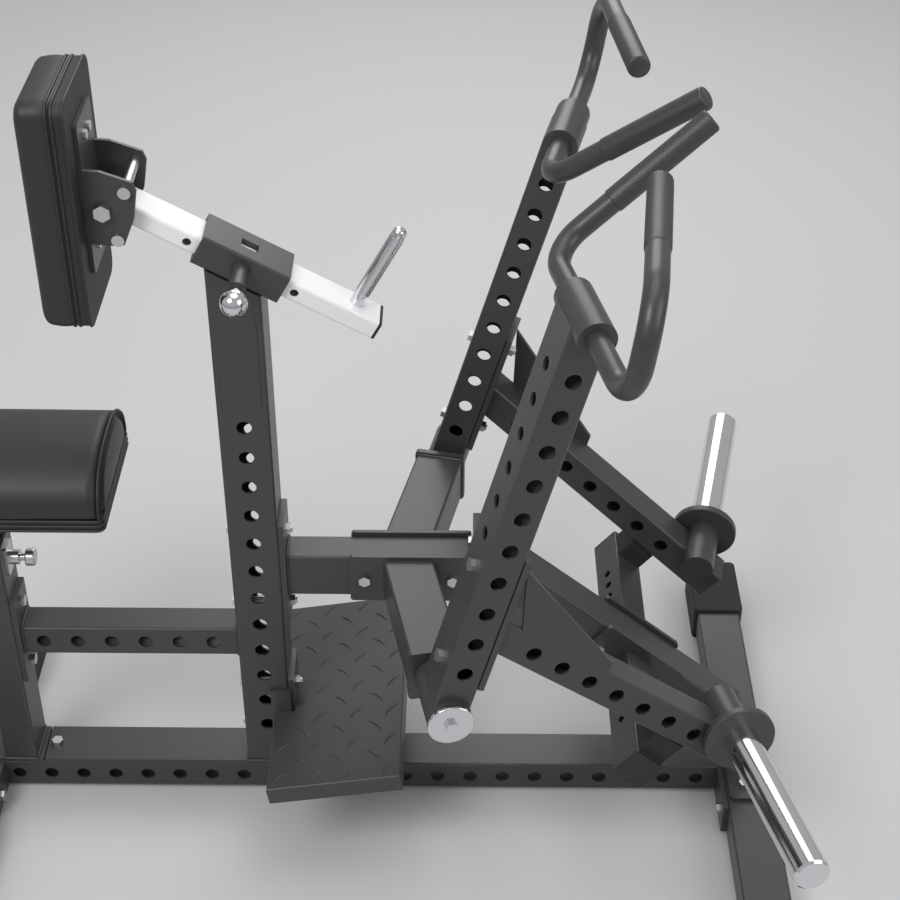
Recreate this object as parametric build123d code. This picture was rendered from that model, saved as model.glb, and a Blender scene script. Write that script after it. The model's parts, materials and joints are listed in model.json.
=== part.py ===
from build123d import *
import math
import os

# Plate-loaded lever row with a chest pad. Millimetres, +Z up, floor at z = 0.
# While it is built, x = 0 is the axis of the main post, +X is the way the user faces
# and y = 0 is the plane of symmetry. The whole machine is then moved so that its
# origin is the bottom centre of its box.

# ---- driving dimensions: steel stock ----
TUBE_LONG = 70.0
TUBE_SHORT = 50.0
TUBE_WALL = 3.0
TUBE_CORNER = 4.0
HOLE_PITCH = 50.0
HOLE_RADIUS = 10.5
PLATE = 6.0
FLANGE = 8.0
BOLT_RADIUS = 5.0
BOLT_HEAD_RADIUS = 9.0
BOLT_HEAD_HEIGHT = 6.5

# ---- floor frame ----
SHOE_WALL = 6.0
SPINE_Z = SHOE_WALL + TUBE_SHORT / 2
SPINE_TOP = SPINE_Z + TUBE_SHORT / 2
DECK = SPINE_TOP + PLATE
SPINE_HOLE_X = 7.0
FRONT_FOOT_X = 731.0
FRONT_FOOT_LENGTH = 890.0
REAR_FOOT_X = -456.0
REAR_FOOT_LENGTH = 560.0
SHOE_LENGTH = 130.0
SPINE_REAR = REAR_FOOT_X + TUBE_LONG / 2 + FLANGE
SPINE_FRONT = FRONT_FOOT_X - TUBE_LONG / 2 - FLANGE
FOOT_BOLT_Y = 97.0

# ---- posts and rails ----
POST_HALF = TUBE_LONG / 2
POST_TOP_HOLE_Z = 691.0
POST_HOLE_COUNT = 12
SEAT_POST_X = -386.0
SEAT_POST_TOP = 470.0
MID_RAIL_Z = 297.0
BEAM_Z = 425.0
BEAM_END = 308.0
STRUT_BOLT_Z = 470.5
POST_BOLT_Z = (119.0, 198.0, 360.0, 493.0)

# ---- yoke and levers: a side's lever turns in an upright plane splayed from X ----
SPLAY = 12.3
YOKE_X = 210.0
ARM_FLANGE_X = (133.0, 306.0)
ARM_BOLT_X = (154.0, 280.0)
ARM_END = 222.0
LEVER_OUTER = 314.0
PIVOT_Z = BEAM_Z
SHAFT_RADIUS = 12.5
HUB_RADIUS = 30.0
BEARING_RADIUS = 23.5
BEARING_WIDTH = 12.0
HUB_OUT = 8.0
HUB_IN = -82.0
DISC_RADIUS = 31.0
UPRIGHT_TILT = 16.06
UPRIGHT_TOP_HOLE = 525.0
UPRIGHT_HOLES = 10
SIDE_HOLES = 6
SLEEVE_AT = 594.0
BAR_SLOPE = 39.68
BAR_FIRST_HOLE = (112.5, 85.5)
BAR_HOLES = 7
BAR_END = 408.0
BAR_DEPTH = (-5.0, -55.0)
BAR_FLANGE = (50.0, 262.0)
LEVER_BOLTS = (75.0, 225.0)
GUSSET_TOP = (95.9, 229.1)
GUSSET_TIP = (204.1, 62.0)
HORN_ALONG = 352.0
HORN_UP = 34.0
HORN_TILT = 5.0
HORN_RADIUS = 24.0
HORN_LENGTH = 262.0
COLLAR_RADIUS = 50.0
COLLAR = 12.0

# ---- turning handles ----
HANDLE_RADIUS = 14.0
GRIP_RADIUS = 15.8
GRIP_LENGTH = 150.0
SLEEVE_RADIUS = 24.0
SLEEVE_OUT = 21.0
SLEEVE_IN = -82.0
HANDLE_INNER_TIP = (584.0, 31.4, 1140.7)
HANDLE_OUTER_TIP = (514.7, 159.0, 1125.0)
HANDLE_INNER_REACH = 102.0
HANDLE_OUTER_REACH = 134.0
HANDLE_OUTER_TURN = (488.0, 416.0, 1121.0)

# ---- strut and stop bar ----
STRUT_WIDTH = 60.0
STRUT_DEPTH = 70.0
STRUT_SLOPE = 40.07
STRUT_TOP_X = 390.0
STRUT_TOP_Z = 435.3
STRUT_START = 324.0
STRUT_FINISH = 718.0
STOP_X = 538.3
STOP_Z = 263.5
STOP_END = 242.0
STOP_FLANGE = (150.0, 84.0)
STOP_PAD_Y = (186.0, 234.0)

# ---- foot plate ----
TREAD_X = (13.0, 206.0)
TREAD_HALF_WIDTH = 197.0
TREAD_TILT = 9.3
TREAD_Z = 169.0
TREAD_SKIRT = 28.0
TREAD_THICK = 4.0

# ---- chest pad slide ----
SLIDE_TILT = 29.3
SLIDE_X = 11.0
SLIDE_Z = 932.0
SLIDE_WIDTH = 50.0
SLIDE_DEPTH = 26.0
SLIDE_FRONT = 195.0
SLIDE_REAR = -196.0
SLIDE_PITCH = 75.0
PIN_HOLE = 5.7
HEAD_LENGTH = 121.0
HEAD_WIDTH = 66.0
HEAD_DEPTH = 42.0
LINER = 2.0
RUN = 0.1
BARREL_RADIUS = 12.0
BARREL_LENGTH = 44.0
PIN_RADIUS = 5.0
PIN_CLEAR = 0.3
KNOB_RADIUS = 17.5
KNOB_Y = 110.0
PEG_AT = 156.0
PEG_RADIUS = 9.3
PEG_LENGTH = 125.0
EAR_Y = 40.0
EAR_THICK = 5.0
PAD_PIVOT_X = -150.2
PAD_PIVOT_Z = 1022.4
PAD_STOP_HIGH = (-120.8, 1049.0)
PAD_STOP_LOW = (-135.1, 983.3)
PAD_WIDTH = 160.0
PAD_TOP = 1177.0
PAD_BOTTOM = 872.0
PAD_BACK_X = -174.0
PAD_THICK = 62.0
PAD_BOARD = 15.0
PAD_CORNER = 16.0

# ---- seat ----
SEAT_X = (-582.0, -190.0)
SEAT_HALF_WIDTH = 105.0
SEAT_UNDER = 567.0
SEAT_BOARD = 18.0
SEAT_RISE = 72.0
SEAT_TUBE = (40.0, 60.0)
SEAT_TUBE_FOOT = 270.0
SEAT_HOLE_PITCH = 35.0
LATCH_Z = 437.0


def box(x, y, z):
    """A box from three (low, high) pairs."""
    size = [high - low for low, high in (x, y, z)]
    centre = [(high + low) / 2 for low, high in (x, y, z)]
    return Pos(*centre) * Box(*size)


def rod(start, end, radius):
    """A round bar between two points."""
    start, end = Vector(*start), Vector(*end)
    plane = Plane(origin=start, z_dir=end - start)
    return extrude(plane * Circle(radius), amount=(end - start).length)


def ring(start, end, outer, inner):
    return rod(start, end, outer) - rod(start, end, inner)


def tube(start, end, across, width, depth, wall=TUBE_WALL):
    """A rectangular tube; its width runs along the direction across."""
    start, end = Vector(*start), Vector(*end)
    plane = Plane(origin=start, x_dir=Vector(*across), z_dir=end - start)
    outer = RectangleRounded(width, depth, TUBE_CORNER)
    inner = RectangleRounded(width - 2 * wall, depth - 2 * wall, TUBE_CORNER - wall / 2)
    return extrude(plane * (outer - inner), amount=(end - start).length)


def drill(shape, points, direction, radius=HOLE_RADIUS, reach=60.0):
    """Round holes through shape at points, along direction both ways."""
    direction = Vector(*direction).normalized()
    cuts = []
    for point in points:
        point = Vector(*point)
        cuts.append(rod(point - direction * reach, point + direction * reach, radius))
    return shape - cuts


def bolt(head_at, direction, grip, radius=BOLT_RADIUS):
    """A hexagon bolt: head under head_at, shank along direction, nut past the grip."""
    head_at, direction = Vector(*head_at), Vector(*direction).normalized()
    plane = Plane(origin=head_at, z_dir=direction)
    hexagon = RegularPolygon(BOLT_HEAD_RADIUS, 6)
    head = extrude(plane * hexagon, amount=-BOLT_HEAD_HEIGHT)
    shank = extrude(plane * Circle(radius), amount=grip + BOLT_HEAD_HEIGHT + 3)
    nut = extrude(plane.offset(grip) * hexagon, amount=BOLT_HEAD_HEIGHT)
    return head + shank + nut


def screw(head_at, direction, length, radius=BOLT_RADIUS):
    """A hexagon-headed screw: head behind head_at, shank along direction."""
    head_at, direction = Vector(*head_at), Vector(*direction).normalized()
    plane = Plane(origin=head_at, z_dir=direction)
    head = extrude(plane * RegularPolygon(BOLT_HEAD_RADIUS, 6), amount=-BOLT_HEAD_HEIGHT)
    return head + extrude(plane * Circle(radius), amount=length)


def half_space(point, normal, size=1200.0):
    """A large slab on the side of the plane that normal points to."""
    plane = Plane(origin=Vector(*point), z_dir=Vector(*normal))
    return extrude(plane * Rectangle(size, size), amount=size)


NODES = {}


def add(name, shape):
    NODES[name] = shape


def add_pair(name, shape):
    """The left piece as given and the right piece as its mirror image."""
    add(name + "_left", shape)
    add(name + "_right", mirror(shape, about=Plane.XZ))


def both(shape):
    return [shape, mirror(shape, about=Plane.XZ)]


# ---- floor frame ----
def spine():
    body = tube((SPINE_REAR, 0, SPINE_Z), (SPINE_FRONT, 0, SPINE_Z), (0, 1, 0), TUBE_LONG, TUBE_SHORT)
    first = SPINE_HOLE_X - 8 * HOLE_PITCH
    points = [(first + k * HOLE_PITCH, 0, SPINE_Z) for k in range(22)]
    return drill(body, points, (0, 1, 0))


def spine_flanges():
    """The plates that bolt the spine's two ends to the cross feet."""
    plates = []
    for x, inward, half in ((SPINE_FRONT, 1, 120.0), (SPINE_REAR, -1, 105.0)):
        low, high = sorted((x, x + inward * FLANGE))
        plate = box((low, high), (-half, half), (SHOE_WALL, SPINE_TOP))
        points = [(x, side * (half - 23), SPINE_Z) for side in (-1, 1)]
        plates.append(drill(plate, points, (1, 0, 0), BOLT_RADIUS, 20))
    return plates


def cross_foot(x, length, bolt_y):
    body = tube((x, -length / 2, SPINE_Z), (x, length / 2, SPINE_Z), (1, 0, 0), TUBE_LONG, TUBE_SHORT)
    points = [(x, side * bolt_y, SPINE_Z) for side in (-1, 1)]
    return drill(body, points, (1, 0, 0), BOLT_RADIUS)


def foot_shoe(x, length, side):
    """A moulded rubber shoe: a closed sleeve over the tube's end, full at the bottom."""
    inner, outer = length / 2 - SHOE_LENGTH + 8, length / 2 + 8
    half = TUBE_LONG / 2 + SHOE_WALL
    block = box((x - half, x + half), (inner, outer), (0, SPINE_TOP + SHOE_WALL))
    block = fillet(block.edges().filter_by(Axis.Z), 8)
    block = chamfer(block.edges().group_by(Axis.Z)[-1], 2)
    core = box((x - TUBE_LONG / 2, x + TUBE_LONG / 2), (0, length / 2), (SHOE_WALL, SPINE_TOP))
    core = fillet(core.edges().filter_by(Axis.Y), TUBE_CORNER)
    shoe = block - core
    return shoe if side > 0 else mirror(shoe, about=Plane.XZ)


def base_plate():
    """The plate under the main post, carried back along the spine."""
    plate = box((-350, 60), (-POST_HALF, POST_HALF), (SPINE_TOP, DECK))
    points = [(x, 0, DECK) for x in (-336, 49)]
    return drill(plate, points, (0, 0, 1), BOLT_RADIUS, 10)


def seat_post():
    half = TUBE_SHORT / 2
    foot = box((SEAT_POST_X - 38, SEAT_POST_X + 34), (-POST_HALF, POST_HALF), (SPINE_TOP, DECK))
    start, end = (SEAT_POST_X, 0, DECK), (SEAT_POST_X, 0, SEAT_POST_TOP)
    post = foot + tube(start, end, (1, 0, 0), TUBE_SHORT, TUBE_LONG)
    post = drill(post, [(SEAT_POST_X + half, 0, LATCH_Z)], (1, 0, 0), 6.2, 8)
    low = SEAT_POST_X + half
    plate = box((low, low + FLANGE), (-32, 32), (MID_RAIL_Z - 75, MID_RAIL_Z + 75))
    return drill(post + plate, [(low, 0, MID_RAIL_Z + s * 58) for s in (-1, 1)], (1, 0, 0), BOLT_RADIUS, 20)


def mid_rail():
    low = SEAT_POST_X + TUBE_SHORT / 2 + FLANGE
    rail = tube((low, 0, MID_RAIL_Z), (-POST_HALF, 0, MID_RAIL_Z), (0, 1, 0), TUBE_SHORT, TUBE_SHORT)
    return drill(rail, [(-322 + k * HOLE_PITCH, 0, MID_RAIL_Z) for k in range(6)], (0, 1, 0))


def head_plane():
    """The slide's own plane: x down the slope towards the front, z square to it."""
    tilt = math.radians(SLIDE_TILT)
    along = Vector(math.cos(tilt), 0, -math.sin(tilt))
    up = Vector(math.sin(tilt), 0, math.cos(tilt))
    return Plane(origin=(SLIDE_X, 0, SLIDE_Z), x_dir=along, z_dir=up)


def main_post():
    post = tube((0, 0, DECK), (0, 0, 1000), (1, 0, 0), TUBE_LONG, TUBE_LONG)
    plane = head_plane()
    under = plane.origin - plane.z_dir * (HEAD_DEPTH / 2)
    post = post - half_space(under, plane.z_dir)
    points = [(0, 0, POST_TOP_HOLE_Z - k * HOLE_PITCH) for k in range(POST_HOLE_COUNT)]
    post = drill(post, points, (0, 1, 0))
    return drill(post, [(0, 0, z) for z in POST_BOLT_Z], (1, 0, 0), BOLT_RADIUS)


def beam():
    """The fore-and-aft beam with its post flange and its front flange."""
    half = TUBE_LONG / 2
    low = POST_HALF + FLANGE
    body = tube((low, 0, BEAM_Z), (BEAM_END, 0, BEAM_Z), (0, 1, 0), TUBE_SHORT, TUBE_LONG)
    rear = box((POST_HALF, low), (-32, 32), (BEAM_Z - 92, BEAM_Z + 96))
    front = box((BEAM_END, BEAM_END + FLANGE), (-half, half), (BEAM_Z - 38, BEAM_Z + 70))
    points = [(x, 0, BEAM_Z) for x in ARM_BOLT_X]
    body = drill(body + rear + front, points, (0, 1, 0), BOLT_RADIUS)
    body = drill(body, [(POST_HALF, 0, z) for z in POST_BOLT_Z[2:]], (1, 0, 0), BOLT_RADIUS, 20)
    return drill(body, [(BEAM_END, 0, STRUT_BOLT_Z)], (1, 0, 0), BOLT_RADIUS, 20)


# ---- yoke ----
splay = math.radians(SPLAY)
OUT = Vector(math.sin(splay), math.cos(splay), 0)
FORE = Vector(math.cos(splay), -math.sin(splay), 0)
UP = Vector(0, 0, 1)
PIVOT_START = Vector(YOKE_X, 0, PIVOT_Z)


def on_pivot(s):
    """A point on the left pivot axis, s out from the plane of symmetry along it."""
    return PIVOT_START + OUT * s


def yoke_arm():
    """A side arm: its flange on the beam's side, its tube and its end plate."""
    side = TUBE_SHORT / 2
    arm = tube(on_pivot(0), on_pivot(ARM_END), FORE, TUBE_LONG, TUBE_LONG)
    arm = arm - box((0, 400), (-60, side + PLATE), (300, 520))
    flange = box(ARM_FLANGE_X, (side, side + PLATE), (BEAM_Z - 39, BEAM_Z + 41))
    flange = fillet(flange.edges().filter_by(Axis.Y), 5)
    plane = Plane(origin=on_pivot(ARM_END), x_dir=FORE, z_dir=OUT)
    end = extrude(plane * RectangleRounded(76, 80, 6), amount=FLANGE)
    weldment = drill(arm + flange + end, [(x, side, BEAM_Z) for x in ARM_BOLT_X], (0, 1, 0), BOLT_RADIUS, 12)
    return weldment - rod(on_pivot(ARM_END - 5), on_pivot(ARM_END + 20), SHAFT_RADIUS)


def pivot_shaft():
    inner = rod(on_pivot(ARM_END - 20), on_pivot(ARM_END), SHAFT_RADIUS + 5)
    return inner + rod(on_pivot(ARM_END - 20), on_pivot(LEVER_OUTER + HUB_OUT + 1), SHAFT_RADIUS)


def pivot_disc():
    low = LEVER_OUTER + HUB_OUT + 1
    disc = rod(on_pivot(low), on_pivot(low + PLATE), DISC_RADIUS)
    disc = fillet(disc.edges(), 1.5)
    screw = Plane(origin=on_pivot(low + PLATE), z_dir=OUT)
    head = extrude(screw * RegularPolygon(BOLT_HEAD_RADIUS, 6), amount=BOLT_HEAD_HEIGHT)
    return disc + head


# ---- levers, drawn in the lever's own plane: u forward, w up from the pivot ----
def lever_plane(off=0.0):
    """Its local z runs inward, so off (outward) is negative local z."""
    return Plane(origin=on_pivot(LEVER_OUTER + off), x_dir=FORE, z_dir=-OUT)


def at(u, w, off=0.0):
    return on_pivot(LEVER_OUTER + off) + FORE * u + UP * w


tilt = math.radians(UPRIGHT_TILT)
STEM = (math.sin(tilt), math.cos(tilt))
SQUARE = (math.cos(tilt), -math.sin(tilt))
slope = math.radians(BAR_SLOPE)
BAR_RUN = (math.cos(slope), -math.sin(slope))
BAR_RISE = (math.sin(slope), math.cos(slope))


def stem(t, side=0.0):
    """(u, w) at t up the upright and side forward of its centre line."""
    return (STEM[0] * t + SQUARE[0] * side, STEM[1] * t + SQUARE[1] * side)


def bar_point(along, rise=0.0):
    u0, w0 = BAR_FIRST_HOLE
    return (u0 + BAR_RUN[0] * along + BAR_RISE[0] * rise, w0 + BAR_RUN[1] * along + BAR_RISE[1] * rise)


def lever_vector(pair):
    return FORE * pair[0] + UP * pair[1]


def lever_upright():
    """The upright tube with its pivot hub at the foot and the handle sleeve on top."""
    mid = -TUBE_LONG / 2
    post = tube(at(*stem(0), mid), at(*stem(SLEEVE_AT), mid), lever_vector(SQUARE), TUBE_SHORT, TUBE_LONG)
    post = post - rod(at(0, 0, 30), at(0, 0, -120), HUB_RADIUS)
    top = stem(SLEEVE_AT)
    post = post - rod(at(*top, 40), at(*top, -120), SLEEVE_RADIUS)
    face_holes = [at(*stem(UPRIGHT_TOP_HOLE - k * HOLE_PITCH), mid) for k in range(UPRIGHT_HOLES)]
    post = drill(post, face_holes, OUT)
    side_holes = [at(*stem(UPRIGHT_TOP_HOLE - k * HOLE_PITCH), mid) for k in range(SIDE_HOLES)]
    post = drill(post, side_holes, lever_vector(SQUARE), HOLE_RADIUS - 1.5)
    bolts = [at(*stem(t), mid) for t in LEVER_BOLTS]
    post = drill(post, bolts, lever_vector(SQUARE), BOLT_RADIUS)
    hub = ring(at(0, 0, HUB_OUT), at(0, 0, HUB_IN), HUB_RADIUS, BEARING_RADIUS)
    sleeve = ring(at(*top, SLEEVE_OUT), at(*top, SLEEVE_IN), SLEEVE_RADIUS, HANDLE_RADIUS + 0.08)
    return post + hub + sleeve


def bearings():
    """Two deep-groove bearings, pressed into the two ends of the hub."""
    bore = SHAFT_RADIUS + 0.05
    outer = ring(at(0, 0, HUB_OUT - 2), at(0, 0, HUB_OUT - 2 - BEARING_WIDTH), BEARING_RADIUS, bore)
    inner = ring(at(0, 0, HUB_IN + 2), at(0, 0, HUB_IN + 2 + BEARING_WIDTH), BEARING_RADIUS, bore)
    return [outer, inner]


def lever_bar():
    """The weight bar with its flange on the upright and the web between them."""
    half = TUBE_SHORT / 2
    middle = sum(BAR_DEPTH) / 2
    start = at(*bar_point(-160), middle)
    end = at(*bar_point(BAR_END), middle)
    bar = tube(start, end, lever_vector(BAR_RISE), TUBE_SHORT, BAR_DEPTH[0] - BAR_DEPTH[1])
    face = half + FLANGE
    bar = bar - half_space(at(*stem(150, face), middle), -lever_vector(SQUARE))
    bar = drill(bar, [at(*bar_point(k * HOLE_PITCH), middle) for k in range(BAR_HOLES)], OUT)
    low, high = BAR_FLANGE
    outline = Polyline(stem(low, half), stem(high, half), stem(high, face), stem(low, face), close=True)
    flange = extrude(lever_plane() * make_face(outline), amount=TUBE_LONG)
    flange = drill(flange, [at(*stem(t, half), -TUBE_LONG / 2) for t in LEVER_BOLTS], lever_vector(SQUARE), BOLT_RADIUS, 20)
    rise = half - 2
    tip = bar_point(112, rise)
    web_line = Polyline(stem(246, face), bar_point(104, rise + 18), tip, bar_point(-40, rise), close=True)
    web = make_face(web_line)
    web = extrude(lever_plane(BAR_DEPTH[0]) * web, amount=PLATE)
    web = web - half_space(at(*stem(150, face), 0), -lever_vector(SQUARE))
    horn_seat = rod(*horn_points(-130, 60), HORN_RADIUS)
    return bar + flange + web - horn_seat


def horn_points(inner, outer):
    """Two points on the weight horn's axis, which rises a little outward."""
    rise = math.tan(math.radians(HORN_TILT))
    u, w = bar_point(HORN_ALONG, HORN_UP)
    return at(u, w + rise * inner, inner), at(u, w + rise * outer, outer)


def horn_collar():
    """The horn's painted base tube and the disc that the plates rest on."""
    base = rod(*horn_points(-80, COLLAR), HORN_RADIUS)
    disc = rod(*horn_points(0.5, COLLAR), COLLAR_RADIUS)
    disc = fillet(disc.edges(), 2)
    return base + disc


def horn():
    start, end = horn_points(COLLAR, COLLAR + HORN_LENGTH)
    body = rod(start, end, HORN_RADIUS)
    far = body.edges().sort_by(Axis.Y)[-1]
    return chamfer(far, 3)


def lever_bolts():
    mid = -TUBE_LONG / 2
    heads = []
    for t in LEVER_BOLTS:
        heads.append(bolt(at(*stem(t, -TUBE_SHORT / 2), mid), lever_vector(SQUARE), TUBE_SHORT + FLANGE))
    return heads


def handle_path():
    """Inner slanting grip, straight run through the sleeve, outer return grip."""
    top = stem(SLEEVE_AT)
    inner = at(*top, SLEEVE_IN - HANDLE_INNER_REACH)
    outer = at(*top, SLEEVE_OUT + HANDLE_OUTER_REACH)
    points = [HANDLE_INNER_TIP, inner, outer, HANDLE_OUTER_TURN, HANDLE_OUTER_TIP]
    return [Vector(*p) for p in points]


def handle():
    points = handle_path()
    path = FilletPolyline(*points, radius=[48, 54, 54])
    profile = Plane(origin=points[0], z_dir=points[1] - points[0]) * (Circle(HANDLE_RADIUS) - Circle(HANDLE_RADIUS - 2.5))
    return sweep(profile, path=path)


def grips():
    """Knurled grip sleeves on the handle's two free ends."""
    points = handle_path()
    sleeves = []
    for tip, towards in ((points[0], points[1]), (points[4], points[3])):
        way = (towards - tip).normalized()
        body = ring(tip - way * 3, tip + way * GRIP_LENGTH, GRIP_RADIUS, HANDLE_RADIUS)
        cap = rod(tip - way * 3, tip, GRIP_RADIUS)
        sleeves.append(body + cap)
    return sleeves


# ---- strut and stop bar ----
strut_slope = math.radians(STRUT_SLOPE)
STRUT_RUN = Vector(math.cos(strut_slope), 0, -math.sin(strut_slope))
STRUT_UP = Vector(math.sin(strut_slope), 0, math.cos(strut_slope))


def strut_centre(x):
    """A point on the strut's centre line at x."""
    drop = STRUT_DEPTH / 2 / math.cos(strut_slope)
    return Vector(x, 0, STRUT_TOP_Z - (x - STRUT_TOP_X) * math.tan(strut_slope) - drop)


def strut():
    body = tube(strut_centre(STRUT_START - 80), strut_centre(STRUT_FINISH + 80), (0, 1, 0), STRUT_WIDTH, STRUT_DEPTH)
    body = body - half_space((STRUT_START, 0, 300), (-1, 0, 0))
    body = body - half_space((STRUT_FINISH, 0, 300), (1, 0, 0))
    body = body - half_space((STRUT_FINISH, 0, DECK), (0, 0, -1))
    plate = box((STRUT_START - FLANGE, STRUT_START), (-POST_HALF, POST_HALF), (BEAM_Z - 38, BEAM_Z + 70))
    plate = drill(plate, [(STRUT_START, 0, STRUT_BOLT_Z)], (1, 0, 0), BOLT_RADIUS, 20)
    return drill(body + plate, stop_bolt_points(), (0, 1, 0), BOLT_RADIUS)


def strut_foot():
    """The strut's end plate standing on its base plate."""
    base = box((700, 762), (-105, 105), (SPINE_TOP, DECK))
    base = fillet(base.edges().filter_by(Axis.Z), 6)
    top = strut_centre(STRUT_FINISH).Z + STRUT_DEPTH / 2 / math.cos(strut_slope)
    stand = box((STRUT_FINISH, STRUT_FINISH + PLATE), (-STRUT_WIDTH / 2, STRUT_WIDTH / 2), (DECK, top))
    return drill(base + stand, [(724, s * 77, DECK) for s in (-1, 1)], (0, 0, 1), BOLT_RADIUS, 10)


def stop_bolt_points():
    centre = Vector(STOP_X, 0, STOP_Z)
    return [centre + STRUT_RUN * s for s in (-59, 59)]


def stop_bar():
    """Half of the cross bar that the levers rest on, on a flange at the strut's side."""
    side = STRUT_WIDTH / 2
    plane = Plane(origin=(STOP_X, side, STOP_Z), x_dir=STRUT_RUN, z_dir=(0, 1, 0))
    flange = extrude(plane * RectangleRounded(*STOP_FLANGE, 8), amount=PLATE)
    bar = tube((STOP_X, side, STOP_Z), (STOP_X, STOP_END - 4, STOP_Z), STRUT_RUN, TUBE_SHORT, TUBE_SHORT)
    bar = bar - box((400, 700), (0, side + PLATE), (100, 400))
    holes = [Vector(STOP_X, 80 + k * 26, STOP_Z) for k in range(4)]
    bar = drill(bar, holes, STRUT_RUN, 6)
    return drill(flange + bar, stop_bolt_points(), (0, 1, 0), BOLT_RADIUS)


def stop_cap():
    plane = Plane(origin=(STOP_X, STOP_END - 4, STOP_Z), x_dir=STRUT_RUN, z_dir=(0, 1, 0))
    lid = extrude(plane * RectangleRounded(TUBE_SHORT, TUBE_SHORT, TUBE_CORNER), amount=4)
    inner = TUBE_SHORT - 2 * TUBE_WALL
    plug = extrude(plane * RectangleRounded(inner, inner, TUBE_CORNER - TUBE_WALL / 2), amount=-14)
    return lid + plug


def stop_pad():
    """A rubber buffer, its top cut to the slope of the bar that rests on it."""
    face = Vector(STOP_X, 0, STOP_Z) + STRUT_UP * (TUBE_SHORT / 2)
    middle = (STOP_PAD_Y[0] + STOP_PAD_Y[1]) / 2
    plane = Plane(origin=(face.X, middle, face.Z), x_dir=STRUT_RUN, z_dir=STRUT_UP)
    block = extrude(plane * RectangleRounded(46, STOP_PAD_Y[1] - STOP_PAD_Y[0], 4), amount=70)
    clear = 0.25
    above = at(*bar_point(0, -TUBE_SHORT / 2 - clear))
    return block - half_space(above, lever_vector(BAR_RISE))


# ---- foot plate ----
def tread_plane():
    lean = math.radians(TREAD_TILT)
    along = Vector(math.cos(lean), 0, math.sin(lean))
    up = Vector(-math.sin(lean), 0, math.cos(lean))
    return Plane(origin=(TREAD_X[0], 0, TREAD_Z), x_dir=along, z_dir=up)


def foot_plate():
    """Chequer plate with a folded skirt and a notch for the post."""
    length = (TREAD_X[1] - TREAD_X[0]) / math.cos(math.radians(TREAD_TILT))
    outer = Pos(length / 2, 0, -TREAD_SKIRT / 2) * Box(length, 2 * TREAD_HALF_WIDTH, TREAD_SKIRT)
    outer = fillet(outer.edges().group_by(Axis.Z)[-1], 3)
    inner = Pos(length / 2, 0, -TREAD_SKIRT / 2 - TREAD_THICK) * Box(
        length - 2 * TREAD_THICK, 2 * (TREAD_HALF_WIDTH - TREAD_THICK), TREAD_SKIRT)
    plate = tread_plane() * (outer - inner)
    return plate - box((-60, POST_HALF + FLANGE), (-POST_HALF - PLATE, POST_HALF + PLATE), (60, 260))


def foot_plate_bracket():
    """The hanger: a flange on the post's front face and two side ribs under the tread."""
    low = POST_HALF
    flange = box((low, low + FLANGE), (-POST_HALF, POST_HALF), (90, 232))
    ribs = []
    for side in (-1, 1):
        y = sorted((side * POST_HALF, side * (POST_HALF + PLATE)))
        ribs.append(box((8, 190), y, (110, 200)))
    plane = tread_plane()
    under = plane.origin - plane.z_dir * TREAD_THICK
    bracket = flange + ribs[0] + ribs[1]
    slab = half_space(under, plane.z_dir)
    ears = [box((8, 38), sorted((s * POST_HALF, s * (POST_HALF + PLATE))), (150, 214)) for s in (-1, 1)]
    ribs_only = (ribs[0] + ribs[1]) - slab
    bracket = flange + ribs_only + ears[0] + ears[1]
    notch = half_space((120, 0, 118), (0.55, 0, -0.835))
    bracket = bracket - notch
    return drill(bracket, [(low, 0, z) for z in POST_BOLT_Z[:2]], (1, 0, 0), BOLT_RADIUS, 20)


# ---- chest pad slide ----
def in_head(x, y, z):
    """A point given in the slide's own directions."""
    plane = head_plane()
    return plane.origin + plane.x_dir * x + Vector(0, y, 0) + plane.z_dir * z


def head_box(x, y, z):
    size = [high - low for low, high in (x, y, z)]
    centre = [(high + low) / 2 for low, high in (x, y, z)]
    return head_plane() * (Pos(*centre) * Box(*size))


def slide_head():
    """The sloping sleeve on top of the post, with its scale window and pin hole."""
    half_l, half_w, half_d = HEAD_LENGTH / 2, HEAD_WIDTH / 2, HEAD_DEPTH / 2
    outer = head_plane() * fillet(Box(HEAD_LENGTH, HEAD_WIDTH, HEAD_DEPTH).edges().filter_by(Axis.X), 4)
    room_w, room_d = SLIDE_WIDTH / 2 + LINER + RUN, SLIDE_DEPTH / 2 + LINER + RUN
    outer = outer - head_box((-half_l - 5, half_l + 5), (-room_w, room_w), (-room_d, room_d))
    outer = outer - head_box((-12, 12), (-9, 9), (0, half_d + 5))
    return outer - rod(in_head(0, -half_w - 5, 0), in_head(0, -10, 0), PIN_RADIUS + 1.5)


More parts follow.
